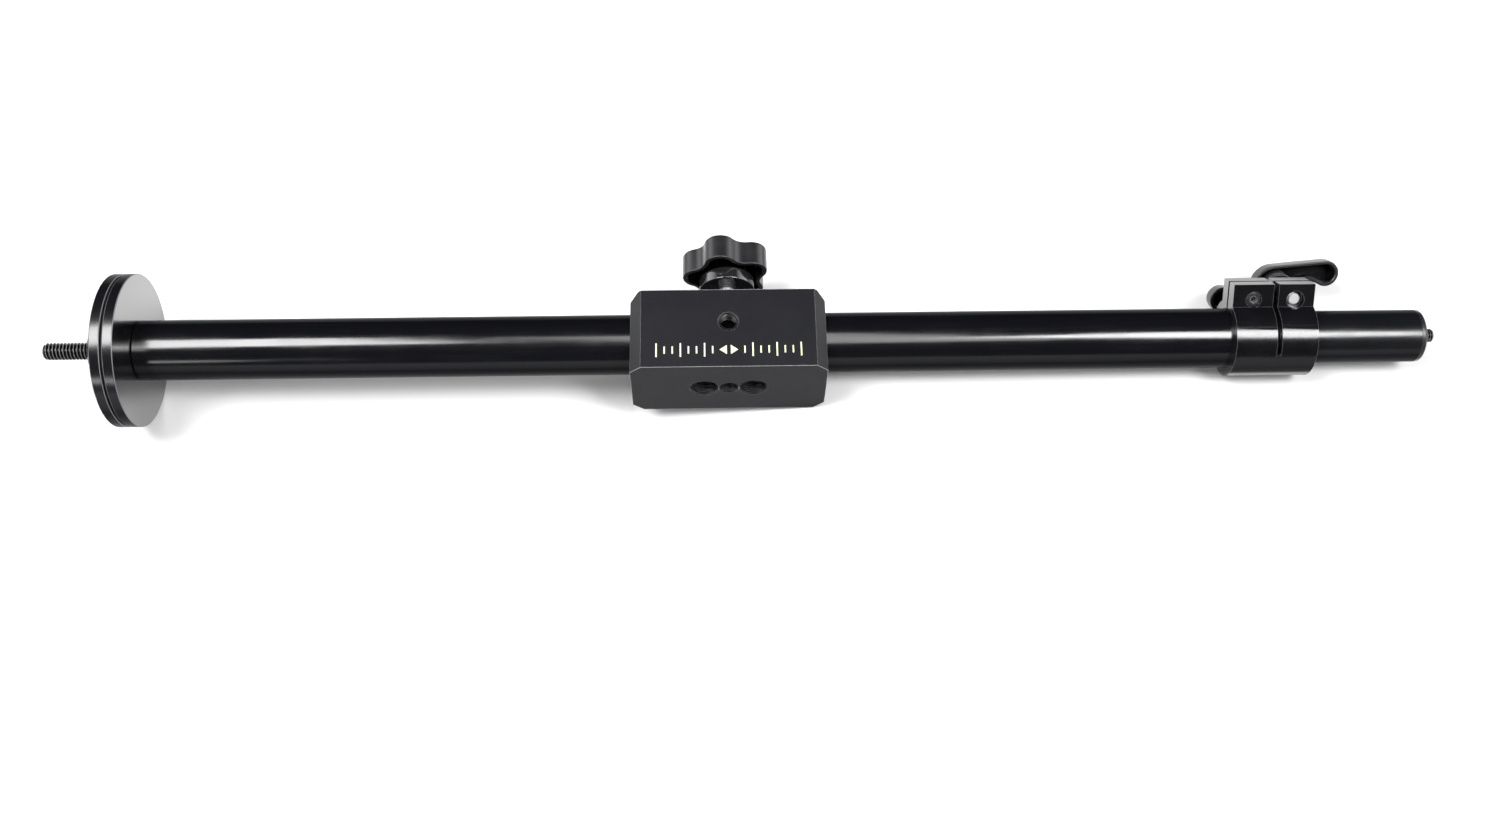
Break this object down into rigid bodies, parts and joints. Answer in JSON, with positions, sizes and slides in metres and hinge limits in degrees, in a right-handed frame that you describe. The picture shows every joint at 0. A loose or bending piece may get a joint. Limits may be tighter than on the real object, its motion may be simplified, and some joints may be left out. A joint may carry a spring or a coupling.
{
  "type": "telescoping camera slider rail",
  "caption": "Round telescoping rail that slides and turns through a tapped carriage block, with a star lock knob, a wing-lever tube clamp and a swivelling disc end with a threaded stud.",
  "frame": {"origin": "centre of the object's bounding box, 6.9 mm right of and 4.8 mm behind the centre of the carriage's bore, at the height of the tube axis", "axes": "+X along the tubes towards the free end of the inner tube, +Y from the tube axis to the lock knob, +Z the outward normal of the carriage's accessory face"},
  "size_m": [0.516, 0.066, 0.0564],
  "materials": {
    "gloss_black_anodised": "gloss black anodised",
    "satin_black_anodised": "satin black anodised",
    "black_plastic": "moulded, satin",
    "black_acetal": "turned, dull",
    "dark_washer": "fibre washer, matt",
    "black_steel": "black oxide",
    "bright_steel": "zinc plated, bright",
    "bare_aluminium": "as turned"
  },
  "bodies": {
    "carriage": {"carriage_block": "satin_black_anodised", "lock_bushing": "satin_black_anodised"},
    "sleeves": {"liner_left": "black_acetal", "liner_right": "black_acetal"},
    "rail": {"outer_tube": "gloss_black_anodised", "tube_plug": "bare_aluminium", "inner_plate": "gloss_black_anodised", "plate_screw_front": "bright_steel", "plate_screw_back": "bright_steel", "mounting_stud": "black_steel", "friction_washer": "dark_washer", "clamp_collar": "satin_black_anodised", "fixing_screw": "black_steel", "reducer_sleeve": "black_acetal"},
    "outer_disc": {"swivel_plate": "gloss_black_anodised"},
    "nut_carrier": {"nut_washer": "black_steel"},
    "lock_nut": {"knurled_nut": "satin_black_anodised"},
    "lever_carrier": {"lever_washer": "bright_steel"},
    "clamp_lever": {"wing_lever": "black_plastic", "lever_stud": "bright_steel"},
    "inner_guide": {"tail_bush": "black_acetal"},
    "inner_rail": {"inner_tube": "satin_black_anodised", "tail_retaining_ring": "bright_steel", "end_cap": "black_plastic", "end_screw": "black_steel"},
    "pad_carrier": {"brake_pad": "black_acetal"},
    "knob": {"lock_knob": "black_plastic", "knob_washer": "black_steel", "lock_stud": "bright_steel"}
  },
  "joints": [
    {"name": "rail_turn", "type": "hinge", "parent": "carriage", "child": "sleeves", "pos_m": [-0.0069, -0.0048, 0], "axis": [1, 0, 0], "continuous": true},
    {"name": "rail_slide", "type": "slide", "parent": "sleeves", "child": "rail", "axis": [1, 0, 0], "range_m": [-0.149, 0.179]},
    {"name": "plate_swivel", "type": "hinge", "parent": "rail", "child": "outer_disc", "pos_m": [-0.2294, -0.0048, 0], "axis": [1, 0, 0], "continuous": true},
    {"name": "nut_travel", "type": "slide", "parent": "rail", "child": "nut_carrier", "axis": [-1, 0, 0], "range_m": [0, 0.0038]},
    {"name": "nut_turn", "type": "hinge", "parent": "nut_carrier", "child": "lock_nut", "pos_m": [-0.2359, -0.0048, 0], "axis": [-1, 0, 0], "range_deg": [0, 1080]},
    {"name": "lever_travel", "type": "slide", "parent": "rail", "child": "lever_carrier", "axis": [0, 0.6921, -0.7218], "range_m": [0, 0.0004]},
    {"name": "lever_turn", "type": "hinge", "parent": "lever_carrier", "child": "clamp_lever", "pos_m": [0.2026, 0.00653, 0.01087], "axis": [0, 0.6921, -0.7218], "range_deg": [0, 180.5]},
    {"name": "inner_extend", "type": "slide", "parent": "rail", "child": "inner_guide", "axis": [1, 0, 0], "range_m": [-0.025, 0.3]},
    {"name": "inner_turn", "type": "hinge", "parent": "inner_guide", "child": "inner_rail", "pos_m": [0.0331, -0.0048, 0], "axis": [1, 0, 0], "continuous": true},
    {"name": "knob_travel", "type": "slide", "parent": "carriage", "child": "pad_carrier", "axis": [0, 1, 0], "range_m": [-0.00044, 0.00254]},
    {"name": "knob_turn", "type": "hinge", "parent": "pad_carrier", "child": "knob", "pos_m": [-0.0069, 0.0202, 0], "axis": [0, 1, 0], "range_deg": [-126, 721]}
  ],
  "couplings": [
    {"joint": "nut_turn", "follows": "nut_travel", "rad_per_m": 4947.4},
    {"joint": "lever_turn", "follows": "lever_travel", "rad_per_m": 7854},
    {"joint": "knob_turn", "follows": "knob_travel", "rad_per_m": 4947.4}
  ]
}
